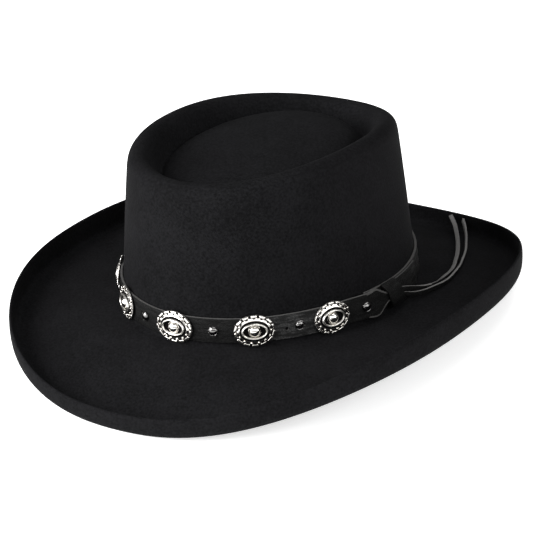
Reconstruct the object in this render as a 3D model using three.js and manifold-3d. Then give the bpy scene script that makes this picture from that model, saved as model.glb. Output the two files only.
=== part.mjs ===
// A black felt gambler hat with a leather concho band.
// Millimetres, +Z up. The front of the hat is toward -Y and the wearer's left is toward +X.
// The origin is on the floor under the middle of the hat, which stands on the front and back of its brim.
import * as THREE from "three";
import { mergeVertices } from "three/addons/utils/BufferGeometryUtils.js";
import Module from "manifold-3d";

const wasm = await Module();
wasm.setup();

// Driving dimensions
const FELT = 2.4; // thickness of the blocked felt
const LEATHER = 1.5; // thickness of the strap and of its laces
const GAP = 0.4; // clearance between neighbouring pieces
const FELT_COLUMNS = 48; // facets round the hat

// Every section round the hat is an oval with these named sizes. Its height is
// height + front cos t + ends cos 2t + toe (cos t - cos 3t) + corners cos 4t, with t = 0 at the front.
const PLAN_SIZES = ["halfLength", "halfWidth", "squareness", "shift"];
const HEIGHT_SIZES = ["height", "front", "ends", "toe", "corners"];

// The strap loop round the foot of the crown, at the lower edge of its outer face
const BAND = section({
  halfLength: 105.4,
  halfWidth: 87.8,
  squareness: 1.92,
  height: 27.7,
  front: 3.6,
  ends: -0.5,
});
const STRAP_WIDTH = 14.6;
// The strap's top edge sits this much further in than its bottom edge, at the front and back and at the sides
const STRAP_LEAN_ENDS = 0.7;
const STRAP_LEAN_SIDES = 2.3;

// The lip, which is the upper edge of the curled brim
const LIP = section({
  halfLength: 171.6,
  halfWidth: 139.9,
  squareness: 2.3,
  height: 27.65,
  ends: -13.9,
  toe: 1.5,
  corners: -0.86,
});
const CURL_HEIGHT = 16.0; // from the underside of the curl up to the lip, on average round the hat
const CURL_TAPER = -2.5; // less height at the front and back, more at the sides
const CURL_RADIUS = 4.2; // inside radius where the brim turns up
const LIP_ROUND = 0.7; // height of the rounded cut edge

// The top of the crown has a ridge all round it, a channel inside the ridge, and a dome in the middle
// that is highest toward the back. These are the crest, the channel floor and the dome's shoulder.
const CREST = section({
  halfLength: 91.5,
  halfWidth: 63.4,
  squareness: 2.1,
  height: 122.3,
  front: 4.9,
  ends: -3.8,
});
const CHANNEL = section({
  halfLength: 78,
  halfWidth: 52.8,
  squareness: 2.05,
  height: 105.4,
  front: 1.8,
  ends: -2.6,
});
const DOME = section({ halfLength: 66, halfWidth: 50, squareness: 2, shift: -7, height: 111.6, front: -4 });
const DOME_PEAK = { height: 117.3, shift: 6 };
const DOME_RINGS = [
  { share: 0.3, bulge: 0.97, shift: 3 },
  { share: 0.55, bulge: 0.83, shift: 0 },
  { share: 0.8, bulge: 0.49, shift: -4 },
];
const DOME_TO_CHANNEL = [
  { out: 0.35, fall: 0.28 },
  { out: 0.7, fall: 0.75 },
];
const CHANNEL_TO_CREST = [
  { out: 0.1, rise: 0.09 },
  { out: 0.2, rise: 0.31 },
  { out: 0.38, rise: 0.68 },
  { out: 0.64, rise: 0.92 },
];

// The crown's edge rolls over from the crest into the wall
const ROLL = [
  { out: 4.4, drop: 1.6 },
  { out: 6.8, drop: 5 },
];
const SHOULDER = resized(CREST, 7.6, -9.4);

// Crown wall sections from the shoulder down to the strap: share of the height above the strap's lower
// edge, and how far the sides bow out of the straight line.
const WALL = [
  { up: 1, bow: 0 },
  { up: 0.6, bow: 0.2 },
  { up: 0.18, bow: 0 },
  { up: 0, bow: 0 },
];

// The small fillet under the strap, as distances out of and below the strap's lower outer edge
const ROOT = [
  { out: -1.9, below: 1.7 },
  { out: -0.7, below: 3.1 },
  { out: 1.9, below: 3.6 },
];

// Brim sections from the fillet out to where the edge turns up: shares of the way out and of the fall
const BRIM = [
  { reach: 0.14, fall: 0.1 },
  { reach: 0.34, fall: 0.3 },
  { reach: 0.56, fall: 0.56 },
  { reach: 0.78, fall: 0.82 },
  { reach: 0.92, fall: 0.965 },
];
const CURL_TURNS = [-12, 0, 12, 34, 58, 90]; // degrees round the bend of the curl

// The leather strap, by distance along it in plan from the middle of the hat's front toward the
// wearer's left. It laps over its own hidden end under the keeper.
const STRAP_STEPS = 75;
const HIDDEN_END = 124;
// Between these the strap comes away from the felt and rises, until it laps over its hidden end
const LAP_FROM = 105;
const LAP_TO = 126;
const LAP_RISE = 0.8;
const NECK_END = 147.5;
const TIP = [
  { at: 122, low: 0.6, high: 15.2 },
  { at: 126, low: -0.2, high: 15.5 },
  { at: 129, low: -0.6, high: 16.1 },
  { at: 131.5, low: -0.3, high: 15.9 },
  { at: 134, low: 1.0, high: 14.5 },
  { at: 137, low: 3.2, high: 12.6 },
  { at: 140.5, low: 4.8, high: 10.8 },
  { at: NECK_END, low: 4.7, high: 10.7 },
];

// The keeper is a leather tab on the strap's other end, with a loop on it that the neck passes through.
const KEEPER_AT = 148;
const KEEPER_LENGTH = 14.2;
const KEEPER_SLANT = 4.8; // how much further along the strap the loop's lower edge is than its upper edge
const KEEPER_WALL = 1;
const TAB_END = 185.5;
const BAR_STEP = 6; // the tab and the loop follow the band in straight steps of at most this
// Outlines across the strap: height above the strap's lower edge and distance out of its face
const LOOP_OUTSIDE = [
  { up: -0.8, out: 1.2 },
  { up: 0.4, out: 3.4 },
  { up: 1.8, out: 4.9 },
  { up: 11.4, out: 4.9 },
  { up: 13.0, out: 3.4 },
  { up: 15.4, out: 1.2 },
  { up: 15.4, out: GAP },
  { up: -0.8, out: GAP },
];
const LOOP_INSIDE = [
  { up: 0.3, out: 1.3 },
  { up: 1.0, out: 2.9 },
  { up: 2.0, out: 3.9 },
  { up: 11.2, out: 3.9 },
  { up: 12.3, out: 2.8 },
  { up: 13.8, out: 1.3 },
];
const TAB = [
  { up: 0.1, out: 1.25 },
  { up: 14.4, out: 1.25 },
  { up: 14.4, out: 0.35 },
  { up: 0.1, out: 0.35 },
];
const HOLE_AT = 68.6;
const HOLE_HEIGHT = 6.0; // its middle above the strap's lower edge
const HOLE_RADIUS = 1.1;
const HOLE_SIDES = 12;

// Conchos and studs
const CONCHO_COUNT = 10;
const CONCHO_PITCH = 48.2;
const FIRST_CONCHO = 97.6;
const CONCHO_LIFT = STRAP_WIDTH / 2 - 0.1; // centre above the strap's lower edge
const STUD_AT_TIP = 121.4;
const STUD_NEXT = 76.5; // the stud that stands off centre between the first two conchos
const STUD_RADIUS = 2.9;
const STUD_HEIGHT = 2.1;
const STUD_SHOULDER = { out: 0.75, up: 0.65 }; // shares of its radius and height
const STUD_SIDES = 10;
const SCALLOPS = 14;
// Rings of the cast oval from its middle outward: half length, half width and height above its back,
// with how much lower the gap between two scallops is.
const CONCHO_PEAK = 3.5;
const CONCHO_RELIEF = [
  { along: 3.4, across: 3.3, high: 1.0, flute: 0 },
  { along: 7.0, across: 4.4, high: 2.2, flute: 0 },
  { along: 7.9, across: 5.4, high: 1.4, flute: 0 },
  { along: 10.3, across: 8.1, high: 1.1, flute: 0.5 },
  { along: 11.7, across: 9.3, high: 0.6, flute: 0.2 },
];

// The two laces that the strap's neck is slit into: the middle of each, in millimetres. They leave the loop
// on edge, come down to the brim and run back over it to the lip.
const LACE_WIDTH = 2.8;
const LACE_STEPS = 23;
const LACE_CHAMFER = 0.35;
const LACE_INNER = [
  [88.9, -2.6, 37.7],
  [89, 1.1, 36.5],
  [89.2, 4.9, 35.4],
  [89.3, 8.9, 34.2],
  [89.8, 13.2, 32.7],
  [90.6, 18.5, 30.8],
  [91.2, 24.3, 28.8],
  [91.8, 30.5, 27],
  [92.2, 35.6, 26],
  [92.5, 40.4, 25.3],
  [92.2, 47, 24.5],
  [91.4, 53.6, 23.9],
  [89.9, 65.6, 23],
  [87.3, 74.5, 22.2],
  [83.8, 82.8, 21.3],
  [77.2, 97.7, 19.5],
  [68.5, 114.5, 16.8],
  [58.4, 132.5, 13.4],
  [49.7, 146.7, 11.9],
  [42.6, 156.9, 12.1],
  [36.4, 164, 13],
];
const LACE_OUTER = [
  [89.4, -2.6, 34.3],
  [89.6, 1.2, 33.1],
  [89.6, 5.2, 31.9],
  [89.9, 8.8, 30.8],
  [91.4, 12.7, 29.4],
  [92.9, 17, 28.3],
  [93.9, 21.7, 27.4],
  [94.5, 26.5, 26.6],
  [95.1, 33.1, 25.8],
  [95.8, 40.2, 25],
  [96.1, 45.5, 24.5],
  [95.8, 51.2, 24],
  [93.1, 65.7, 23],
  [90.6, 75.4, 22.1],
  [87.4, 84.2, 21.3],
  [77.9, 106.8, 17.9],
  [69.3, 123.6, 15.2],
  [58, 144.6, 10.9],
  [51.5, 155.3, 11.1],
  [46.2, 162.6, 12.3],
];

// Materials
function finish(color, roughness, metalness) {
  return new THREE.MeshStandardMaterial({ color, roughness, metalness });
}
const felt = finish(0x141416, 0.95, 0);
const leather = finish(0x1d1d1f, 0.5, 0);
const nickel = finish(0xd4d0c8, 0.25, 1);

const hat = new THREE.Group();

// Helpers for sections
function section(sizes) {
  const full = {};
  for (const key of [...PLAN_SIZES, ...HEIGHT_SIZES]) full[key] = sizes[key] ?? 0;
  return full;
}

function blend(from, to, planShare, heightShare) {
  const made = {};
  for (const key of PLAN_SIZES) made[key] = THREE.MathUtils.lerp(from[key], to[key], planShare);
  for (const key of HEIGHT_SIZES) made[key] = THREE.MathUtils.lerp(from[key], to[key], heightShare);
  return made;
}

function resized(from, out, up) {
  return {
    ...from,
    halfLength: from.halfLength + out,
    halfWidth: from.halfWidth + out,
    height: from.height + up,
  };
}

function pointOn(s, t) {
  const power = 2 / s.squareness;
  const sine = Math.sin(t);
  const cosine = Math.cos(t);
  return new THREE.Vector3(
    s.halfWidth * Math.sign(sine) * Math.abs(sine) ** power,
    s.shift - s.halfLength * Math.sign(cosine) * Math.abs(cosine) ** power,
    s.height +
      s.front * cosine +
      s.ends * Math.cos(2 * t) +
      s.toe * (cosine - Math.cos(3 * t)) +
      s.corners * Math.cos(4 * t),
  );
}

// A closed surface from rows of points. Each row is a closed loop, and a row of one point is a pole.
function lofted(rows) {
  const positions = [];
  const starts = [];
  for (const row of rows) {
    starts.push(positions.length / 3);
    for (const p of row) positions.push(p.x, p.y, p.z);
  }
  const index = [];
  for (let i = 0; i + 1 < rows.length; i++) {
    const here = rows[i].length;
    const next = rows[i + 1].length;
    const around = Math.max(here, next);
    for (let j = 0; j < around; j++) {
      const k = (j + 1) % around;
      const a = starts[i] + (here === 1 ? 0 : j);
      const b = starts[i] + (here === 1 ? 0 : k);
      const c = starts[i + 1] + (next === 1 ? 0 : j);
      const d = starts[i + 1] + (next === 1 ? 0 : k);
      if (here > 1) index.push(a, c, b);
      if (next > 1) index.push(b, c, d);
    }
  }
  const geometry = new THREE.BufferGeometry();
  geometry.setAttribute("position", new THREE.Float32BufferAttribute(positions, 3));
  geometry.setIndex(index);
  geometry.computeVertexNormals();
  return geometry;
}

function addMesh(name, geometry, material) {
  const mesh = new THREE.Mesh(geometry, material);
  mesh.name = name;
  hat.add(mesh);
  return mesh;
}

// Felt body

function domeRing({ share, bulge, shift }) {
  return section({
    halfLength: DOME.halfLength * share,
    halfWidth: DOME.halfWidth * share,
    squareness: DOME.squareness,
    shift,
    height: DOME.height + (DOME_PEAK.height - DOME.height) * bulge,
    front: DOME.front * share,
  });
}

function feltSections() {
  const sections = DOME_RINGS.map(domeRing);
  sections.push(DOME);
  for (const { out, fall } of DOME_TO_CHANNEL) sections.push(blend(DOME, CHANNEL, out, fall));
  sections.push(CHANNEL);
  for (const { out, rise } of CHANNEL_TO_CREST) sections.push(blend(CHANNEL, CREST, out, rise));
  sections.push(CREST);
  for (const { out, drop } of ROLL) sections.push(resized(CREST, out, -drop));
  const strapFoot = resized(BAND, -(LEATHER + GAP), 0);
  for (const { up, bow } of WALL) {
    const wall = blend(strapFoot, SHOULDER, up, up);
    wall.halfWidth += bow;
    sections.push(wall);
  }
  for (const { out, below } of ROOT) sections.push(resized(BAND, out, -below));

  const root = sections.at(-1);
  const innerLip = resized(LIP, -FELT / 2, -LIP_ROUND);
  const trough = resized(innerLip, -CURL_RADIUS, LIP_ROUND - CURL_HEIGHT + FELT);
  trough.ends -= CURL_TAPER;
  for (const { reach, fall } of BRIM) sections.push(blend(root, trough, reach, fall));
  for (const degrees of CURL_TURNS) {
    const turn = THREE.MathUtils.degToRad(degrees);
    const out = CURL_RADIUS * Math.sin(turn);
    const up = CURL_RADIUS * (1 - Math.cos(turn));
    sections.push(resized(trough, out, up));
  }
  sections.push(innerLip);
  return sections;
}

function rowOf(s) {
  return Array.from({ length: FELT_COLUMNS }, (_, j) => pointOn(s, (2 * Math.PI * j) / FELT_COLUMNS));
}

function unitStep(from, to) {
  return to.clone().sub(from).normalize();
}

// The under side lies one felt thickness behind the outside, and is pressed flat where it meets the floor.
function underside(rows) {
  return rows.map((row, i) =>
    row.map((p, j) => {
      const down = new THREE.Vector3();
      if (i > 0) down.add(unitStep(rows[i - 1][j], p));
      if (i + 1 < rows.length) down.add(unitStep(p, rows[i + 1][j]));
      const around = unitStep(row.at(j - 1), row[(j + 1) % row.length]);
      const out = down.cross(around).normalize();
      const under = p.clone().addScaledVector(out, -FELT);
      under.z = Math.max(under.z, 0);
      return under;
    }),
  );
}

function feltBody() {
  const outside = feltSections().map(rowOf);
  const inside = underside(outside);
  const edge = rowOf(LIP);
  const peak = new THREE.Vector3(0, DOME_PEAK.shift, DOME_PEAK.height);
  const peakUnder = peak.clone();
  peakUnder.z -= FELT;
  return lofted([[peak], ...outside, edge, ...inside.reverse(), [peakUnder]]);
}
addMesh("felt_body", feltBody(), felt);

// Places on the band, by the distance along it

const BAND_SAMPLES = 1440;
const bandAngles = [];
const bandLengths = [0];
for (let i = 0; i <= BAND_SAMPLES; i++) {
  bandAngles.push((2 * Math.PI * i) / BAND_SAMPLES);
  if (i > 0) {
    const from = pointOn(BAND, bandAngles[i - 1]).setZ(0);
    bandLengths.push(bandLengths[i - 1] + from.distanceTo(pointOn(BAND, bandAngles[i]).setZ(0)));
  }
}
const BAND_LENGTH = bandLengths.at(-1);

function bandAngle(distance) {
  const wanted = THREE.MathUtils.euclideanModulo(distance, BAND_LENGTH);
  const i = Math.max(1, bandLengths.findIndex((length) => length >= wanted));
  const share = (wanted - bandLengths[i - 1]) / (bandLengths[i] - bandLengths[i - 1]);
  return THREE.MathUtils.lerp(bandAngles[i - 1], bandAngles[i], share);
}

// A point at a height above the strap's lower edge and a distance out of its outer face
function onBand(distance, up, out) {
  const t = bandAngle(distance);
  const step = 0.01;
  const p = pointOn(BAND, t);
  const tangent = unitStep(pointOn(BAND, t - step).setZ(0), pointOn(BAND, t + step).setZ(0));
  const away = new THREE.Vector3(tangent.y, -tangent.x, 0);
  const lean = THREE.MathUtils.lerp(STRAP_LEAN_ENDS, STRAP_LEAN_SIDES, Math.sin(t) ** 4);
  p.addScaledVector(away, out - (lean * up) / STRAP_WIDTH);
  p.z += up;
  return p;
}

// Leather strap

// How far round the lap the strap has come: 0 where it lies on the felt, 1 over its hidden end
function lapShare(along) {
  return THREE.MathUtils.smoothstep(along, LAP_FROM, LAP_TO);
}

// How far the strap's outer face stands off its place on the felt
function strapLift(along) {
  return (GAP + KEEPER_WALL + GAP + LEATHER) * lapShare(along);
}

function strapEdges(along) {
  if (along < TIP[0].at) {
    const rise = LAP_RISE * lapShare(along);
    return { low: rise, high: rise + STRAP_WIDTH };
  }
  const i = Math.max(1, TIP.findIndex((row) => row.at >= along));
  const share = (along - TIP[i - 1].at) / (TIP[i].at - TIP[i - 1].at);
  return {
    low: THREE.MathUtils.lerp(TIP[i - 1].low, TIP[i].low, share),
    high: THREE.MathUtils.lerp(TIP[i - 1].high, TIP[i].high, share),
  };
}

function strapLoop(along) {
  const { low, high } = strapEdges(along);
  const lift = strapLift(along);
  return [
    onBand(along, low, lift),
    onBand(along, high, lift),
    onBand(along, high, lift - LEATHER),
    onBand(along, low, lift - LEATHER),
  ];
}

function middleOf(loop) {
  const middle = new THREE.Vector3();
  for (const p of loop) middle.add(p);
  return middle.divideScalar(loop.length);
}

function asSolid(geometry) {
  const bare = new THREE.BufferGeometry();
  bare.setAttribute("position", geometry.getAttribute("position"));
  bare.setIndex(geometry.index);
  const merged = mergeVertices(bare);
  const vertProperties = merged.attributes.position.array;
  const triVerts = Uint32Array.from(merged.index.array);
  return new wasm.Manifold(new wasm.Mesh({ numProp: 3, vertProperties, triVerts }));
}

function asGeometry(solid) {
  const mesh = solid.getMesh();
  const geometry = new THREE.BufferGeometry();
  geometry.setAttribute("position", new THREE.BufferAttribute(mesh.vertProperties, 3));
  geometry.setIndex(new THREE.BufferAttribute(mesh.triVerts, 1));
  geometry.computeVertexNormals();
  return geometry;
}

function strap() {
  const start = HIDDEN_END - BAND_LENGTH;
  const step = (TIP[0].at - start) / STRAP_STEPS;
  const stations = Array.from({ length: STRAP_STEPS + 1 }, (_, i) => start + step * i);
  for (const row of TIP.slice(1)) stations.push(row.at);
  const loops = stations.map(strapLoop);
  const strip = asSolid(lofted([[middleOf(loops[0])], ...loops, [middleOf(loops.at(-1))]]));
  const drill = new THREE.CylinderGeometry(HOLE_RADIUS, HOLE_RADIUS, 4 * LEATHER, HOLE_SIDES);
  const inner = onBand(HOLE_AT, HOLE_HEIGHT, -2 * LEATHER);
  const outer = onBand(HOLE_AT, HOLE_HEIGHT, 2 * LEATHER);
  const axis = new THREE.Vector3(0, 1, 0);
  drill.applyQuaternion(new THREE.Quaternion().setFromUnitVectors(axis, unitStep(inner, outer)));
  const middle = middleOf([inner, outer]);
  drill.translate(middle.x, middle.y, middle.z);
  return asGeometry(strip.subtract(asSolid(drill)));
}
addMesh("band_strap", strap(), leather);

// Keeper

// A bar along the strap, with its ends cut on a slant
function barOnBand(outline, from, to, slant) {
  const pieces = Math.ceil((to - from) / BAR_STEP);
  const rows = [];
  for (let i = 0; i <= pieces; i++) {
    const middle = THREE.MathUtils.lerp(from, to, i / pieces);
    rows.push(outline.map(({ up, out }) => onBand(middle + slant * (0.5 - up / STRAP_WIDTH), up, out)));
  }
  return asSolid(lofted([[middleOf(rows[0])], ...rows, [middleOf(rows.at(-1))]]));
}

function keeper() {
  const from = KEEPER_AT - KEEPER_LENGTH / 2;
  const to = KEEPER_AT + KEEPER_LENGTH / 2;
  const loop = barOnBand(LOOP_OUTSIDE, from, to, KEEPER_SLANT);
  const past = 2; // the room is cut a little past both ends of the loop
  const room = barOnBand(LOOP_INSIDE, from - past, to + past, KEEPER_SLANT);
  const tab = barOnBand(TAB, KEEPER_AT, TAB_END, 0);
  return asGeometry(loop.subtract(room).add(tab));
}
addMesh("keeper", keeper(), leather);

// Conchos and studs, each set square on the strap

function seatOnBand(mesh, distance) {
  const place = (along, higher) =>
    onBand(along, CONCHO_LIFT + LAP_RISE * lapShare(along) + higher, strapLift(along) + GAP);
  const reach = 2;
  const here = place(distance, 0);
  const along = unitStep(place(distance - reach, 0), place(distance + reach, 0));
  const above = place(distance, reach);
  const out = along.clone().cross(unitStep(here, above)).normalize();
  const up = out.clone().cross(along);
  mesh.position.copy(here);
  mesh.quaternion.setFromRotationMatrix(new THREE.Matrix4().makeBasis(along, up, out));
}

function conchoGeometry() {
  const columns = SCALLOPS * 2;
  const ring = ({ along, across, high, flute }, flat) =>
    Array.from({ length: columns }, (_, j) => {
      const angle = (2 * Math.PI * j) / columns;
      const gap = j % 2 === 0 ? 0 : flute;
      return new THREE.Vector3(
        (along - gap / 2) * Math.cos(angle),
        (across - gap / 2) * Math.sin(angle),
        flat ? 0 : high - gap,
      );
    });
  const rings = CONCHO_RELIEF.map((row) => ring(row, false));
  const back = ring(CONCHO_RELIEF.at(-1), true);
  return lofted([[new THREE.Vector3(0, 0, CONCHO_PEAK)], ...rings, back, [new THREE.Vector3()]]);
}

function studGeometry() {
  const profile = [
    new THREE.Vector2(0, 0),
    new THREE.Vector2(STUD_RADIUS, 0),
    new THREE.Vector2(STUD_RADIUS * STUD_SHOULDER.out, STUD_HEIGHT * STUD_SHOULDER.up),
    new THREE.Vector2(0, STUD_HEIGHT),
  ];
  const dome = new THREE.LatheGeometry(profile, STUD_SIDES);
  dome.rotateX(Math.PI / 2);
  return dome;
}

const concho = conchoGeometry();
for (let i = 0; i < CONCHO_COUNT; i++) {
  seatOnBand(addMesh(`concho_${i + 1}`, concho.clone(), nickel), FIRST_CONCHO - CONCHO_PITCH * i);
}
const stud = studGeometry();
const studPlaces = [STUD_AT_TIP, STUD_NEXT];
for (let i = 1; i < CONCHO_COUNT - 1; i++) studPlaces.push(FIRST_CONCHO - CONCHO_PITCH * (i + 0.5));
studPlaces.forEach((distance, i) => seatOnBand(addMesh(`stud_${i + 1}`, stud.clone(), nickel), distance));

// Free ends of the lace

// A curve along which a section keeps its first side upright
class UprightCurve extends THREE.CatmullRomCurve3 {
  computeFrenetFrames(steps) {
    const up = new THREE.Vector3(0, 0, 1);
    const frames = { tangents: [], normals: [], binormals: [] };
    for (let i = 0; i <= steps; i++) {
      const tangent = this.getTangentAt(i / steps);
      const across = tangent.clone().cross(up).normalize();
      frames.tangents.push(tangent);
      frames.normals.push(across.clone().cross(tangent));
      frames.binormals.push(across);
    }
    return frames;
  }
}

function lace(points) {
  const route = new UprightCurve(points.map((p) => new THREE.Vector3(...p)));
  const half = LACE_WIDTH / 2;
  const flat = LEATHER / 2;
  const outline = new THREE.Shape([
    new THREE.Vector2(half, flat - LACE_CHAMFER),
    new THREE.Vector2(half - LACE_CHAMFER, flat),
    new THREE.Vector2(LACE_CHAMFER - half, flat),
    new THREE.Vector2(-half, flat - LACE_CHAMFER),
    new THREE.Vector2(-half, LACE_CHAMFER - flat),
    new THREE.Vector2(LACE_CHAMFER - half, -flat),
    new THREE.Vector2(half - LACE_CHAMFER, -flat),
    new THREE.Vector2(half, LACE_CHAMFER - flat),
  ]);
  return new THREE.ExtrudeGeometry(outline, { extrudePath: route, steps: LACE_STEPS });
}
addMesh("lace_inner", lace(LACE_INNER), leather);
addMesh("lace_outer", lace(LACE_OUTER), leather);

export default hat;
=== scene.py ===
# %% [markdown]
# # A black felt hat with a concho band
#
# The imported model is the fixed frame of this scene. It has one body, called root, because nothing on the
# hat is hinged. Every piece below is made over its own CAD node, in metres, and then takes that node's
# place.

# %% Load the imported hat
import math
from contextlib import contextmanager

import bpy
import numpy as np
from mathutils import Matrix, Vector


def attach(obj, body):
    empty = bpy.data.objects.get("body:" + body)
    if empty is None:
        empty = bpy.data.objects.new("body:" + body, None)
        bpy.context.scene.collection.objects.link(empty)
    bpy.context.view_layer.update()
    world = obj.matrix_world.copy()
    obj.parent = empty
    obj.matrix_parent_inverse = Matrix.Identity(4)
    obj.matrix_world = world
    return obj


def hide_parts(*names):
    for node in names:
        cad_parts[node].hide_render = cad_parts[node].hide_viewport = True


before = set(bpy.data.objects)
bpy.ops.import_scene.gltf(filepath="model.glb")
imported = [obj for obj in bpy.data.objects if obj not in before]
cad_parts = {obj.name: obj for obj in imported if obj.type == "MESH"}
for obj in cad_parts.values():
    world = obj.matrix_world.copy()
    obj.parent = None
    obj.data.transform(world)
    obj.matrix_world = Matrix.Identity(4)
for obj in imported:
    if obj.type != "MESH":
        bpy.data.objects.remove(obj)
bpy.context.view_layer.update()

MM = 0.001

# %% [markdown]
# ## The camera
#
# A long lens a metre and a half away gives the mild perspective of a catalogue photo. The hat is turned by
# about 34 degrees, seen from 24 degrees above, and the camera is rolled a little, which the lean of the
# brim shows.

# %% Set up the camera
PHOTO_PIXELS = 533
SENSOR_MM = 36.0
FOCAL_PIXELS = 2369.7
CAMERA_DISTANCE = 1.455
CAMERA_TURN = math.radians(33.62)
CAMERA_RISE = math.radians(23.79)
CAMERA_ROLL = math.radians(-2.73)
AIM_ACROSS = -2.49 * MM
AIM_HEIGHT = 34.09 * MM

toward_camera = Vector(
    (
        math.sin(CAMERA_TURN) * math.cos(CAMERA_RISE),
        -math.cos(CAMERA_TURN) * math.cos(CAMERA_RISE),
        math.sin(CAMERA_RISE),
    )
)
camera_right = Vector((math.cos(CAMERA_TURN), math.sin(CAMERA_TURN), 0))
camera_up = toward_camera.cross(camera_right)
camera_axes = Matrix((camera_right, camera_up, toward_camera)).transposed().to_4x4()
camera_place = camera_right * AIM_ACROSS + Vector((0, 0, AIM_HEIGHT)) + toward_camera * CAMERA_DISTANCE

bpy.ops.object.camera_add()
camera = bpy.context.object
camera.data.sensor_width = SENSOR_MM
camera.data.lens = FOCAL_PIXELS / PHOTO_PIXELS * SENSOR_MM
camera.matrix_world = Matrix.Translation(camera_place) @ camera_axes @ Matrix.Rotation(CAMERA_ROLL, 4, "Z")
bpy.context.scene.camera = camera
print("lens in mm:", round(camera.data.lens, 1))

# %% [markdown]
# ## Working by hand, in code
#
# An operator changes whatever is selected. These helpers select one piece, go in and out of edit mode, pick
# faces by a test on each face, and add a modifier that is applied at once, so that every finished piece is
# a plain mesh.

# %% Helpers for modelling
def only(piece):
    bpy.ops.object.select_all(action="DESELECT")
    piece.select_set(True)
    bpy.context.view_layer.objects.active = piece


@contextmanager
def editing(piece, kind="FACE"):
    only(piece)
    bpy.ops.object.mode_set(mode="EDIT")
    bpy.ops.mesh.select_mode(type=kind)
    yield
    bpy.ops.object.mode_set(mode="OBJECT")


def pick_faces(piece, wanted):
    with editing(piece):
        bpy.ops.mesh.select_all(action="DESELECT")
    for face in piece.data.polygons:
        face.select = wanted(face)


def modify(piece, kind, **settings):
    only(piece)
    modifier = piece.modifiers.new(kind.lower(), kind)
    for key, value in settings.items():
        setattr(modifier, key, value)
    bpy.ops.object.modifier_apply(modifier=modifier.name)


def subdivide_smoothly(piece, levels):
    modify(piece, "SUBSURF", levels=levels, render_levels=levels)


def shade_smooth_below(piece, degrees):
    """Smooth shading that leaves every edge sharper than this many degrees crisp."""
    only(piece)
    bpy.ops.object.shade_smooth_by_angle(angle=math.radians(degrees))


def join(name, pieces):
    only(pieces[0])
    for piece in pieces:
        piece.select_set(True)
    bpy.ops.object.join()
    pieces[0].name = pieces[0].data.name = name
    return pieces[0]


def finished(piece, slot, *nodes):
    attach(piece, "root")
    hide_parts(*nodes)
    print(piece.name, "has", len(piece.data.polygons), "faces")


# %% [markdown]
# ## The two laces
#
# The end of the strap is slit into two laces. They leave the loop of the keeper standing on edge, come down
# to the brim, and curve back over it to the far lip. The inner one turns as it goes, until its raw side
# looks up. A curve carries a flat section along such a route: its points are the ones that the CAD laces
# follow, and the tilt of a point leans the section over. The curve is then made a mesh, because the grey
# cut side and the black grain side need a finish each.

# %% Route the laces
LACE_WIDTH = 2.8 * MM
LACE_THICKNESS = 1.5 * MM
LACE_ROUNDING = 0.35 * MM
INNER_LEAN = math.radians(72)
OUTER_LEAN = math.radians(14)
UPRIGHT_TO_POINT = 5
LEANING_FROM_POINT = 11
LACE_INNER = [
    (88.9, -2.6, 37.7),
    (89, 1.1, 36.5),
    (89.2, 4.9, 35.4),
    (89.3, 8.9, 34.2),
    (89.8, 13.2, 32.7),
    (90.6, 18.5, 30.8),
    (91.2, 24.3, 28.8),
    (91.8, 30.5, 27),
    (92.2, 35.6, 26),
    (92.5, 40.4, 25.3),
    (92.2, 47, 24.5),
    (91.4, 53.6, 23.9),
    (89.9, 65.6, 23),
    (87.3, 74.5, 22.2),
    (83.8, 82.8, 21.3),
    (77.2, 97.7, 19.5),
    (68.5, 114.5, 16.8),
    (58.4, 132.5, 13.4),
    (49.7, 146.7, 11.9),
    (42.6, 156.9, 12.1),
    (36.4, 164, 13),
]
LACE_OUTER = [
    (89.4, -2.6, 34.3),
    (89.6, 1.2, 33.1),
    (89.6, 5.2, 31.9),
    (89.9, 8.8, 30.8),
    (91.4, 12.7, 29.4),
    (92.9, 17, 28.3),
    (93.9, 21.7, 27.4),
    (94.5, 26.5, 26.6),
    (95.1, 33.1, 25.8),
    (95.8, 40.2, 25),
    (96.1, 45.5, 24.5),
    (95.8, 51.2, 24),
    (93.1, 65.7, 23),
    (90.6, 75.4, 22.1),
    (87.4, 84.2, 21.3),
    (77.9, 106.8, 17.9),
    (69.3, 123.6, 15.2),
    (58, 144.6, 10.9),
    (51.5, 155.3, 11.1),
    (46.2, 162.6, 12.3),
]


def lace_section():
    """A flat section with rounded corners, as a curve that other curves can carry."""
    bpy.ops.mesh.primitive_plane_add(size=1)
    section = bpy.context.object
    section.data.transform(Matrix.Diagonal((LACE_THICKNESS, LACE_WIDTH, 1, 1)))
    with editing(section, "VERT"):
        bpy.ops.mesh.select_all(action="SELECT")
        bpy.ops.mesh.bevel(offset=LACE_ROUNDING, segments=3, affect="VERTICES")
        bpy.ops.mesh.delete(type="ONLY_FACE")
    only(section)
    bpy.ops.object.convert(target="CURVE")
    return section


def lace(name, points, lean):
    """One lace, with the route of its middle. Its section stands upright at first and leans over later."""
    bpy.ops.curve.primitive_bezier_curve_add()
    piece = bpy.context.object
    piece.name = name
    spline = piece.data.splines[0]
    spline.bezier_points.add(len(points) - len(spline.bezier_points))
    for i, (place, point) in enumerate(zip(points, spline.bezier_points)):
        point.co = Vector(place) * MM
        point.handle_left_type = point.handle_right_type = "AUTO"
        turned = (i - UPRIGHT_TO_POINT) / (LEANING_FROM_POINT - UPRIGHT_TO_POINT)
        point.tilt = lean * min(max(turned, 0), 1)
    piece.data.twist_mode = "Z_UP"
    piece.data.resolution_u = 6
    piece.data.use_fill_caps = True
    bare = bpy.data.meshes.new_from_object(piece)
    route = [vertex.co.copy() for vertex in bare.vertices]
    bpy.data.meshes.remove(bare)
    section = lace_section()
    piece.data.bevel_mode = "OBJECT"
    piece.data.bevel_object = section
    only(piece)
    bpy.ops.object.convert(target="MESH")
    bpy.data.objects.remove(section)
    return piece, route


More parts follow.
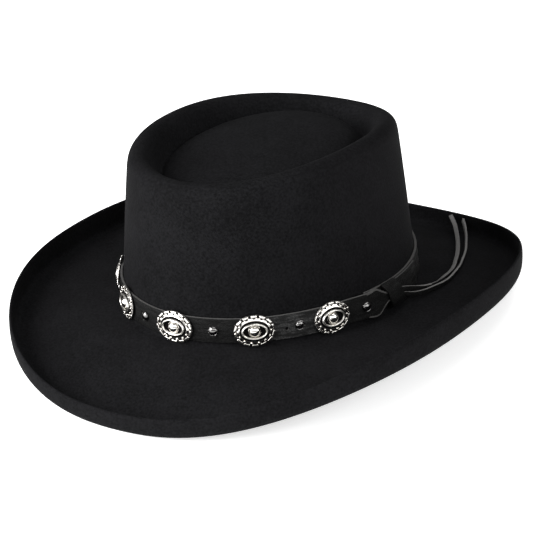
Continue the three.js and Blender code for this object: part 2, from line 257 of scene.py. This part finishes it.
def length_of(route):
    return sum((b - a).length for a, b in zip(route, route[1:]))


lace_inner, inner_route = lace("lace_inner_leather", LACE_INNER, INNER_LEAN)
lace_outer, outer_route = lace("lace_outer_leather", LACE_OUTER, OUTER_LEAN)
for piece, route in ((lace_inner, inner_route), (lace_outer, outer_route)):
    print(piece.name, "length in mm:", round(length_of(route) / MM, 1))

# %% [markdown]
# ## Finishes
#
# A shader is a graph of nodes. Two small classes keep the graph readable: Shade stands for what a node
# gives and can be used in ordinary sums, and Finish makes a material and any node in it.

# %% Classes for shader sums
class Shade:
    def __init__(self, finish, socket):
        self.finish = finish
        self.socket = socket

    def sum_with(self, operation, first, second):
        return self.finish.node("ShaderNodeMath", {"operation": operation}, {0: first, 1: second})

    def __add__(self, other):
        return self.sum_with("ADD", self, other)

    def __radd__(self, other):
        return self.sum_with("ADD", other, self)

    def __sub__(self, other):
        return self.sum_with("SUBTRACT", self, other)

    def __rsub__(self, other):
        return self.sum_with("SUBTRACT", other, self)

    def __mul__(self, other):
        return self.sum_with("MULTIPLY", self, other)

    def __rmul__(self, other):
        return self.sum_with("MULTIPLY", other, self)


class Finish:
    def __init__(self, name, **sockets):
        self.material = bpy.data.materials.new(name)
        self.material.use_nodes = True
        self.shader = self.material.node_tree.nodes["Principled BSDF"]
        for key, value in sockets.items():
            self.shader.inputs[key.replace("_", " ")].default_value = value
        self.place = self.node("ShaderNodeTexCoord", {}, {}, "Object")

    def node(self, kind, settings, values, output=0):
        made = self.material.node_tree.nodes.new(kind)
        for key, value in settings.items():
            setattr(made, key, value)
        for key, value in values.items():
            self.set(made.inputs[key], value)
        return Shade(self, made.outputs[output])

    def set(self, socket, value):
        if isinstance(value, Shade):
            self.material.node_tree.links.new(value.socket, socket)
        else:
            socket.default_value = value

    def stretched(self, x, y, z):
        return self.node("ShaderNodeMapping", {}, {"Vector": self.place, "Scale": (x, y, z)})

    def noise(self, size, detail=2.0, place=None):
        """Cloudy noise whose blotches are about size metres across."""
        values = {"Vector": place or self.place, "Scale": 1 / size, "Detail": detail}
        return self.node("ShaderNodeTexNoise", {}, values)

    def cells(self, size, place=None):
        """Zero along the borders of cells about size metres across, and rising inside them."""
        values = {"Vector": place or self.place, "Scale": 1 / size}
        return self.node("ShaderNodeTexVoronoi", {"feature": "DISTANCE_TO_EDGE"}, values)

    def between(self, low, high, value):
        """0 where value is low or less, 1 where it is high or more."""
        values = {"Value": value, "From Min": low, "From Max": high}
        return self.node("ShaderNodeMapRange", {"clamp": True}, values)

    def mix(self, share, first, second):
        """A colour between two colours. A Mix node has sockets for numbers too, so these go by number."""
        return self.node("ShaderNodeMix", {"data_type": "RGBA"}, {0: share, 6: first, 7: second}, 2)

    def colour(self, value):
        self.set(self.shader.inputs["Base Color"], value)

    def roughness(self, value):
        self.set(self.shader.inputs["Roughness"], value)

    def bump(self, height, depth, strength=1.0):
        """Relief up to depth metres deep."""
        values = {"Height": height, "Distance": depth, "Strength": strength}
        self.set(self.shader.inputs["Normal"], self.node("ShaderNodeBump", {}, values))


def grey(value, warmth=0.0):
    return (value * (1 + warmth), value, value * (1 - warmth), 1)


# %% [markdown]
# ## Felt
#
# Blocked wool felt is matted fibre: almost black and without a shine. Fine noise stands for the fibre ends,
# a coarser one for the small clumps in which they mat, and a slow one for the uneven nap. They change the
# colour a little and raise a very shallow relief.

# %% Mix the felt finish
FELT_DARK = (0.0028, 0.0028, 0.0031, 1)
FELT_LIGHT = (0.008, 0.008, 0.0088, 1)
felt = Finish("black_felt", Specular_IOR_Level=0.06)
fibres = felt.noise(0.45 * MM, 3.0)
clumps = felt.noise(1.4 * MM, 3.0)
nap = felt.noise(26 * MM, 2.0)
felt_shade = felt.between(0.4, 0.6, 0.3 * fibres + 0.5 * clumps + 0.2 * nap)
felt.colour(felt.mix(felt_shade, FELT_DARK, FELT_LIGHT))
felt.roughness(0.9 + 0.1 * nap)
felt.bump(fibres + 0.6 * clumps, 0.1 * MM, 0.6)
print("felt nodes:", len(felt.material.node_tree.nodes))

# %% [markdown]
# ## Leather
#
# The strap's face is dyed and grained: shallow cells with creases between them, long creases where it has
# been bent round the crown, and a satin shine. Round the hole its colour is lightened, most on the high
# spots
# of the grain: a painted highlight. Where leather is cut the dye does not reach, so its edges and its back
# are grey and fibrous. The laces were slit last and have the palest sides.

# %% Mix the leather finishes
# Where the painted highlight on the strap is centred, and how far it reaches.
HIGHLIGHT_PLACE = (59.1 * MM, -75.1 * MM, 36.3 * MM)
HIGHLIGHT_FULL_WITHIN = 10 * MM
HIGHLIGHT_REACH = 30 * MM
grain = Finish("black_grain_leather", Specular_IOR_Level=0.11)
grain_cells = grain.between(0.0, 0.2, grain.cells(1.2 * MM, grain.stretched(0.75, 0.75, 1.3)))
long_creases = grain.noise(2.6 * MM, 4.0, grain.stretched(0.3, 0.3, 1.6))
scuffs = grain.noise(9 * MM, 3.0)
both_places = {0: grain.place, 1: HIGHLIGHT_PLACE}
from_hole = grain.node("ShaderNodeVectorMath", {"operation": "DISTANCE"}, both_places, "Value")
# Painted highlight: full within a centimetre of the hole, fading out by three.
painted_highlight = grain.between(HIGHLIGHT_REACH, HIGHLIGHT_FULL_WITHIN, from_hole)
high_spots = grain_cells * grain.between(0.4, 0.62, long_creases)
# The high spots and scuffs vary the grain's tone; round the hole the colour is lightened, most on the high
# spots, as a painted highlight.
grain_tone_and_highlight = 0.14 * high_spots + 0.03 * scuffs + painted_highlight * (0.2 + 1.2 * high_spots)
grain.colour(grain.mix(grain_tone_and_highlight, grey(0.002), grey(0.05)))
grain.roughness(0.62 - 0.2 * high_spots)
grain.bump(0.5 * grain_cells + long_creases, 0.35 * MM, 0.9)


RAW_WARMTH = 0.02


def raw_leather(name, darkest, lightest):
    """Cut leather, grey and fibrous, between two greys."""
    made = Finish(name, Specular_IOR_Level=0.15)
    torn_fibres = made.noise(0.5 * MM, 4.0)
    paleness = made.between(0.3, 0.7, torn_fibres)
    made.colour(made.mix(paleness, grey(darkest, RAW_WARMTH), grey(lightest, RAW_WARMTH)))
    made.roughness(0.85)
    made.bump(torn_fibres, 0.1 * MM, 0.5)
    return made


raw = raw_leather("raw_strap_edge", 0.044, 0.08)
raw_lace = raw_leather("raw_lace_side", 0.1, 0.18)
print("leather nodes:", len(grain.material.node_tree.nodes), len(raw.material.node_tree.nodes))

# %% [markdown]
# ## Metal
#
# The conchos are cast and plated with nickel, then blackened and polished, so that the high parts are
# bright and the recesses stay dark. Each vertex carries a number for how dark its finish is: how deep in a
# recess it is, and on the dabs behind the bars painted shade. The studs are plainer rivet heads, polished
# too; their dark grey is painted shade, standing in for the dark room and brim that they reflect.

# %% Mix the metal finishes
BRIGHT_METAL = (0.95, 0.92, 0.87, 1)
BLACKENED_AND_SHADE_METAL = (0.012, 0.011, 0.011, 1)
STUD_WARMTH = 0.02
nickel = Finish("antique_nickel", Metallic=1.0)
patina_and_shade = nickel.node("ShaderNodeAttribute", {"attribute_name": "patina_and_shade"}, {}, "Fac")
tarnish = nickel.noise(0.9 * MM, 3.0)
# Dark where the finish is blackened in its recesses, and on the dabs behind the bars as painted shade.
darkness = nickel.between(0.25, 0.7, patina_and_shade + 0.8 * tarnish - 0.35)
nickel.colour(nickel.mix(darkness, BRIGHT_METAL, BLACKENED_AND_SHADE_METAL))
nickel.roughness(0.08 + 0.8 * patina_and_shade + 0.06 * tarnish)
nickel.bump(tarnish, 0.03 * MM, 0.2)

stud_nickel = Finish("polished_nickel", Metallic=1.0)
stud_wear = stud_nickel.noise(1.5 * MM, 3.0)
# Painted shade: polished heads coloured dark grey, standing in for the dark room and brim that they
# reflect; the noise varies it at random.
stud_nickel.colour(stud_nickel.mix(stud_wear, grey(0.15, STUD_WARMTH), grey(0.22, STUD_WARMTH)))
stud_nickel.roughness(0.04 + 0.1 * stud_wear)
print("metal nodes:", len(nickel.material.node_tree.nodes))

# %% [markdown]
# ## The felt body
#
# Crown and brim are one blocked piece. The CAD solid already has its sections in the right place, so a copy
# of it is merged, its triangles are paired into quads, and it is subdivided. Subdividing draws a ring of 48
# points in by a known share of its radius, so the copy is let out by that share first.

# %% Shape the felt
CAD_COLUMNS = 48
RING_LOSS = (1 - math.cos(2 * math.pi / CAD_COLUMNS)) / 3
MERGE_WITHIN = 0.005 * MM
PAIR_ANGLE = math.radians(60)


def copy_of(node, name):
    """A merged copy of a CAD node's mesh, as a new piece."""
    piece = bpy.data.objects.new(name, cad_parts[node].data.copy())
    piece.data.materials.clear()
    bpy.context.scene.collection.objects.link(piece)
    with editing(piece):
        bpy.ops.mesh.select_all(action="SELECT")
        bpy.ops.mesh.remove_doubles(threshold=MERGE_WITHIN)
    return piece


felt_body = copy_of("felt_body", "felt_crown_and_brim")
with editing(felt_body):
    bpy.ops.mesh.select_all(action="SELECT")
    bpy.ops.mesh.tris_convert_to_quads(face_threshold=PAIR_ANGLE, shape_threshold=PAIR_ANGLE)
four_sided = sum(len(face.vertices) == 4 for face in felt_body.data.polygons)
print("quads:", four_sided, "of", len(felt_body.data.polygons), "faces")
felt_body.data.transform(Matrix.Diagonal((1 + RING_LOSS, 1 + RING_LOSS, 1, 1)))
subdivide_smoothly(felt_body, 2)
only(felt_body)
bpy.ops.object.shade_smooth()
felt_body.data.materials.append(felt.material)
finished(felt_body, "felt", "felt_body")

# %% [markdown]
# ## The strap and its keeper
#
# The copy of each CAD solid gets rounded edges. How far an edge is rounded is its bevel weight. A face that
# looks out of the band is grain, which is told by the direction in which the band's oval grows, and the cut
# edges are raw. The strap's tip is pared along its outline, so a raw strip shows there on its face as well.

# %% Cut the strap
BAND_HALF_WIDTH = 87.8 * MM
BAND_HALF_LENGTH = 105.4 * MM
GRAIN, RAW = 0, 1
TIP_FROM = -28 * MM
TIP_RAISED = 1.006
PARED_WIDTH = 1.0 * MM
STRAP_ROUNDING = 0.5 * MM


def outward(place):
    return Vector((place.x / BAND_HALF_WIDTH**2, place.y / BAND_HALF_LENGTH**2, 0)).normalized()


def looks_out(face):
    return face.normal.dot(outward(face.center)) > 0.85


def on_tip(place):
    """Whether a place is on the strap's outer end, which stands a little outside the band's oval."""
    raised = math.hypot(place.x / BAND_HALF_WIDTH, place.y / BAND_HALF_LENGTH) > TIP_RAISED
    return raised and TIP_FROM < place.y < 0 and place.x > 0


def weigh_edges(piece, sharp, weight_of):
    """Gives each edge sharper than the angle sharp the bevel weight that weight_of has for its middle."""
    normals = {}
    for face in piece.data.polygons:
        for key in face.edge_keys:
            normals.setdefault(key, []).append(face.normal)
    weights = piece.data.attributes.new("bevel_weight_edge", "FLOAT", "EDGE")
    for edge, weight in zip(piece.data.edges, weights.data):
        sides = normals[edge.key]
        if len(sides) == 2 and sides[0].angle(sides[1]) > sharp:
            ends = [piece.data.vertices[i].co for i in edge.vertices]
            weight.value = weight_of((ends[0] + ends[1]) / 2)


def leather_copy(node, name):
    piece = copy_of(node, name)
    with editing(piece):
        bpy.ops.mesh.select_all(action="SELECT")
        bpy.ops.mesh.dissolve_limited(angle_limit=math.radians(0.5))
    piece.data.materials.append(grain.material)
    piece.data.materials.append(raw.material)
    return piece


strap = leather_copy("band_strap", "band_strap_leather")
pick_faces(strap, lambda face: looks_out(face) and on_tip(face.center))
with editing(strap):
    bpy.ops.mesh.inset(thickness=PARED_WIDTH, depth=0)
pared = [looks_out(face) and on_tip(face.center) and not face.select for face in strap.data.polygons]
for face, is_pared in zip(strap.data.polygons, pared):
    face.material_index = RAW if is_pared else GRAIN
weigh_edges(strap, math.radians(35), lambda middle: 1.0 if on_tip(middle) else 0.5)
modify(strap, "BEVEL", width=STRAP_ROUNDING, segments=3, limit_method="WEIGHT", material=-1)
for face in strap.data.polygons:
    if face.normal.dot(outward(face.center)) < (0.75 if on_tip(face.center) else 0.45):
        face.material_index = RAW
shade_smooth_below(strap, 40)
print("pared faces:", sum(pared))
finished(strap, "band_leather", "band_strap")

# %% [markdown]
# ## The keeper
#
# The loop is soft folded leather, so its long corners are rounded and smoothed, and its cut ends are dyed
# and only a little rounded. Behind it the strap's other end, a second layer, shows a raw upper edge.

# %% Fold the keeper
TAB_FROM = 11 * MM
KEEPER_ROUNDING = 0.3 * MM
keeper = leather_copy("keeper", "keeper_leather")
weigh_edges(keeper, math.radians(60), lambda middle: 1.0)
modify(keeper, "BEVEL", width=KEEPER_ROUNDING, segments=3, limit_method="WEIGHT")
for face in keeper.data.polygons:
    cut = face.normal.dot(outward(face.center)) < 0.6
    face.material_index = RAW if cut and face.center.y > TAB_FROM else GRAIN
shade_smooth_below(keeper, 52)
finished(keeper, "band_leather", "keeper")

# %% [markdown]
# ## Dressing the laces
#
# The side of a lace that looks away from the crown is grain. Its other side and its cut edges are raw.

# %% Dress the laces
def dress_lace(piece, route, node):
    with editing(piece):
        bpy.ops.mesh.select_all(action="SELECT")
        bpy.ops.mesh.normals_make_consistent(inside=False)
    piece.data.materials.append(grain.material)
    piece.data.materials.append(raw_lace.material)
    steps = [(b - a).normalized() for a, b in zip(route, route[1:])]
    for face in piece.data.polygons:
        nearest = min(range(len(steps)), key=lambda i: (route[i] - face.center).length)
        away = steps[nearest].cross(Vector((0, 0, 1))).normalized()
        face.material_index = GRAIN if face.normal.dot(away) > 0.6 else RAW
    shade_smooth_below(piece, 40)
    finished(piece, "lace_leather", node)
    round(length_of(route), 3)


dress_lace(lace_inner, inner_route, "lace_inner")
dress_lace(lace_outer, outer_route, "lace_outer")

# %% [markdown]
# ## A concho
#
# The cast oval slopes down from an upright ring to a thin rim. A border of bright bars stands on the
# blackened rim, with a bead behind each gap and a dark dab behind each bar; the dabs stand up, and their
# near black is painted shade. Inside the ring is a blackened well with a polished ball in a fine collar.
# The slope, the rim and the ring are one cylinder whose top is extruded and resized again and again. The
# slope is polished like a mirror, so its upper half takes the lights and its lower half the black brim.

# %% Model one concho
BAR_COUNT = 14
OVAL_SIDES = 84
BLANK_THICKNESS = 0.1
CONCHO_PROFILE = [
    # half length, half width and height in mm, recess
    (12.1, 9.8, 0.0, 0.6),
    (12.1, 9.8, 0.35, 0.5),
    (11.9, 9.6, 0.45, 0.7),
    (11.6, 9.3, 0.4, 1.0),
    (10.9, 8.6, 0.4, 1.0),
    (10.3, 8.0, 0.5, 1.0),
    (10.0, 7.7, 0.6, 0.1),
    (9.4, 7.0, 0.95, 0.0),
    (9.0, 6.45, 1.2, 0.0),
    (8.75, 6.2, 1.15, 1.0),
    (7.95, 5.25, 1.15, 1.0),
    (7.8, 5.1, 1.2, 1.0),
    (7.7, 5.0, 2.0, 0.3),
    (7.4, 4.7, 2.45, 0.22),
    (7.1, 4.4, 2.55, 0.2),
    (6.8, 4.1, 2.45, 0.22),
    (6.55, 3.85, 2.0, 0.3),
    (6.4, 3.75, 0.9, 1.0),
    (6.1, 3.6, 0.6, 1.0),
    (3.0, 3.0, 0.6, 1.0),
]


def mark_patina_and_shade(piece, depth_of):
    """Writes how dark the finish of each vertex is: the depth of its recess, and painted shade where a
    value is given for it.
    """
    attribute = piece.data.attributes.new("patina_and_shade", "FLOAT", "POINT")
    for vertex, value in zip(piece.data.vertices, attribute.data):
        value.value = depth_of(vertex.co)


def recess_of(place):
    """The recess of the row of the profile that the place is nearest to, in mm."""
    x, y, z = place / MM

    def miss(row):
        half_length, half_width, height, _ = row
        return abs(math.hypot(x / half_length, y / half_width) - 1) * half_width + abs(z - height)

    return min(CONCHO_PROFILE, key=miss)[3]


def saucer():
    """The rim, slope, ring and well, drawn up from a thin oval blank row by row."""
    length, width = CONCHO_PROFILE[0][:2]
    height = BLANK_THICKNESS
    bpy.ops.mesh.primitive_cylinder_add(vertices=OVAL_SIDES, radius=1, depth=1)
    piece = bpy.context.object
    size = Matrix.Diagonal((length * MM, width * MM, height * MM, 1))
    piece.data.transform(Matrix.Translation((0, 0, height / 2 * MM)) @ size)
    pick_faces(piece, lambda face: face.normal.z > 0.9)
    with editing(piece):
        for next_length, next_width, next_height, _ in CONCHO_PROFILE[1:]:
            rise = {"value": (0, 0, (next_height - height) * MM)}
            bpy.ops.mesh.extrude_region_move(TRANSFORM_OT_translate=rise)
            shrink = (next_length / length, next_width / width, 1)
            bpy.ops.transform.resize(value=shrink, center_override=(0, 0, 0))
            length, width, height = next_length, next_width, next_height
    subdivide_smoothly(piece, 1)
    mark_patina_and_shade(piece, recess_of)
    return piece


def on_oval(half_length, half_width, first):
    """A place for each bar round an oval, with the angle at which the oval runs there."""
    for i in range(BAR_COUNT):
        turn = 2 * math.pi * (i + first) / BAR_COUNT
        place = Vector((half_length * math.cos(turn), half_width * math.sin(turn), 0))
        yield place, math.atan2(half_width * math.cos(turn), -half_length * math.sin(turn))


BAR_SIZE = (3.6 * MM, 1.25 * MM, 0.9 * MM)
BAR_ROUNDING = 0.3 * MM


def border_bar():
    bpy.ops.mesh.primitive_cube_add(size=1)
    bar = bpy.context.object
    bar.data.transform(Matrix.Diagonal((*BAR_SIZE, 1)))
    with editing(bar):
        bpy.ops.mesh.select_all(action="SELECT")
        bpy.ops.mesh.subdivide(number_cuts=2)
    modify(bar, "BEVEL", width=BAR_ROUNDING, segments=3, limit_method="ANGLE")
    return bar


def border_ball(length, width, height):
    bpy.ops.mesh.primitive_uv_sphere_add(segments=16, ring_count=10, radius=1)
    ball = bpy.context.object
    ball.data.transform(Matrix.Diagonal((length * MM, width * MM, height * MM, 1)))
    return ball


BORDER = [
    # shape, its half sizes, half length and half width of the oval it stands on, height,
    # first place, lean in degrees, how dark the finish is (recess depth; painted shade for the dabs)
    (border_bar, (), 11.2, 8.9, 0.5, 0.5, 6, 0.1),
    # The dabs behind the bars: coloured near black as painted shade, though they stand up.
    (border_ball, (0.95, 0.4, 0.35), 9.9, 7.55, 0.75, 0.5, 14, 1.0),
    (border_ball, (0.6, 0.5, 0.55), 9.7, 7.35, 0.85, 0.0, 14, 0.1),
]
BALL_HALF = (3.55, 3.55, 2.9)
BALL_HEIGHT = 0.8
COLLAR_HEIGHT = 1.0
COLLAR_RADIUS = 3.6
COLLAR_THINNESS = 0.05


def concho_pattern():
    made = [saucer()]
    for shape, sizes, half_length, half_width, height, first, lean, patina_and_shade_here in BORDER:
        model = shape(*sizes)
        for place, angle in on_oval(half_length * MM, half_width * MM, first):
            copy = bpy.data.objects.new(model.name, model.data.copy())
            bpy.context.scene.collection.objects.link(copy)
            turned = Matrix.Rotation(angle, 4, "Z") @ Matrix.Rotation(math.radians(lean), 4, "X")
            copy.data.transform(Matrix.Translation(place + Vector((0, 0, height * MM))) @ turned)
            mark_patina_and_shade(copy, lambda _: patina_and_shade_here)
            made.append(copy)
        bpy.data.objects.remove(model)
    ball = border_ball(*BALL_HALF)
    subdivide_smoothly(ball, 1)
    ball.data.transform(Matrix.Translation((0, 0, BALL_HEIGHT * MM)))
    ring = {"major_segments": 48, "minor_segments": 8, "major_radius": 1, "minor_radius": COLLAR_THINNESS}
    bpy.ops.mesh.primitive_torus_add(**ring)
    collar = bpy.context.object
    lifted = Matrix.Translation((0, 0, COLLAR_HEIGHT * MM))
    collar.data.transform(lifted @ Matrix.Scale(COLLAR_RADIUS * MM, 4))
    for piece in (ball, collar):
        mark_patina_and_shade(piece, lambda _: 0.0)
        made.append(piece)
    pattern = join("concho_pattern", made)
    shade_smooth_below(pattern, 50)
    pattern.data.materials.clear()
    pattern.data.materials.append(nickel.material)
    return pattern


concho = concho_pattern()
print("faces of one concho:", len(concho.data.polygons))

# %% [markdown]
# ## Setting the conchos and studs
#
# Each CAD ornament is flat at the back. Its own points give the place and the three directions of its copy:
# the longest spread of the points runs along the band, and the shortest one out of it.

# %% Find where an ornament sits
def seat_of(node):
    """The matrix that takes a shape modelled at the origin, facing +Z, to where the CAD node sits."""
    places = np.array([vertex.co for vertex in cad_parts[node].data.vertices])
    centre = places.mean(axis=0)
    out = Vector(np.linalg.svd(places - centre)[2][2])
    if out.dot(outward(Vector(centre))) < 0:
        out = -out
    along = Vector((0, 0, 1)).cross(out).normalized()
    up = out.cross(along)
    back = min(out.dot(Vector(place)) for place in places)
    middles = []
    for direction in (along, up):
        spread = [direction.dot(Vector(place)) for place in places]
        middles.append((min(spread) + max(spread)) / 2)
    origin = along * middles[0] + up * middles[1] + out * back
    return Matrix.Translation(origin) @ Matrix((along, up, out)).transposed().to_4x4()


def set_copies(pattern, kind, name, slot):
    count = sum(node.startswith(kind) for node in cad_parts)
    for number in range(1, count + 1):
        piece = bpy.data.objects.new(f"{name}_{number}", pattern.data.copy())
        bpy.context.scene.collection.objects.link(piece)
        piece.data.transform(seat_of(f"{kind}{number}"))
        finished(piece, slot, f"{kind}{number}")
    bpy.data.objects.remove(pattern)


set_copies(concho, "concho_", "cast_concho", "concho_metal")

# %% [markdown]
# ## A stud
#
# A domed rivet head with a thin collar. Half a ball is flattened, and the collar is a ring round its foot.

# %% Model one stud and set the copies
STUD_RADIUS = 2.9 * MM
STUD_HEIGHT = 1.5 * MM
HEAD_RADIUS = STUD_RADIUS * 0.9
RING_THICKNESS = 0.26 * MM


def stud_pattern():
    bpy.ops.mesh.primitive_uv_sphere_add(segments=32, ring_count=16, radius=1)
    head = bpy.context.object
    with editing(head):
        bpy.ops.mesh.select_all(action="SELECT")
        bpy.ops.mesh.bisect(plane_co=(0, 0, 0), plane_no=(0, 0, 1), use_fill=True, clear_inner=True)
    head.data.transform(Matrix.Diagonal((HEAD_RADIUS, HEAD_RADIUS, STUD_HEIGHT, 1)))
    bpy.ops.mesh.primitive_torus_add(
        location=(0, 0, RING_THICKNESS),
        major_segments=32,
        minor_segments=8,
        major_radius=HEAD_RADIUS,
        minor_radius=RING_THICKNESS,
    )
    collar = bpy.context.object
    only(collar)
    bpy.ops.object.transform_apply(location=True)
    pattern = join("stud_pattern", [head, collar])
    shade_smooth_below(pattern, 40)
    pattern.data.materials.clear()
    pattern.data.materials.append(stud_nickel.material)
    return pattern


set_copies(stud_pattern(), "stud_", "domed_stud", "stud_metal")

# %% [markdown]
# ## The studio
#
# A pale floor, a dim room and four soft lights. The key light stands to the left of the camera. A wide weak
# one in front fills the conchos, another stands to the right, and one hangs overhead. The room is dim so
# that the polished metal keeps its dark parts, and the floor glows a little, like a product photographer's
# light table, so that it stays white under the brim. Each light is placed by its angle to the right of the
# camera, its angle above the floor, and its distance.

# %% Light the scene
FLOOR_SIZE = 8.0
FLOOR_GLOW = 0.6
bpy.ops.mesh.primitive_plane_add(size=FLOOR_SIZE)
floor = bpy.context.object
floor.name = "studio_floor"
pale = Finish(
    "pale_floor",
    Base_Color=grey(0.92),
    Roughness=0.9,
    Specular_IOR_Level=0.1,
    Emission_Color=grey(1),
    Emission_Strength=FLOOR_GLOW,
)
floor.data.materials.append(pale.material)

ROOM_BRIGHTNESS = 0.15
LIGHTS = [
    # name, degrees right of the camera, degrees up, distance, width and height in metres, power in watts
    ("key", -68, 27, 1.8, 1.5, 1.3, 64.0),
    ("front", 4, 32, 1.8, 2.2, 1.0, 14.0),
    ("right", 58, 24, 1.8, 1.2, 1.0, 11.0),
    ("overhead", 110, 76, 1.7, 1.1, 1.1, 10.0),
]
AIM = Vector((0, 0, 0.05))
for name, right, up, distance, width, height, power in LIGHTS:
    turn = CAMERA_TURN + math.radians(right)
    rise = math.radians(up)
    away = Vector((math.sin(turn) * math.cos(rise), -math.cos(turn) * math.cos(rise), math.sin(rise)))
    bpy.ops.object.light_add(type="AREA", location=AIM + away * distance)
    light = bpy.context.object
    light.name = name
    light.data.shape = "RECTANGLE"
    light.data.size = width
    light.data.size_y = height
    light.data.energy = power
    light.rotation_euler = away.to_track_quat("Z", "Y").to_euler()

world = bpy.data.worlds.new("white_room")
world.use_nodes = True
world.node_tree.nodes["Background"].inputs["Color"].default_value = (1, 1, 1, 1)
world.node_tree.nodes["Background"].inputs["Strength"].default_value = ROOM_BRIGHTNESS
bpy.context.scene.world = world
bpy.context.scene.view_settings.view_transform = "Standard"
print("lights:", [row[0] for row in LIGHTS])
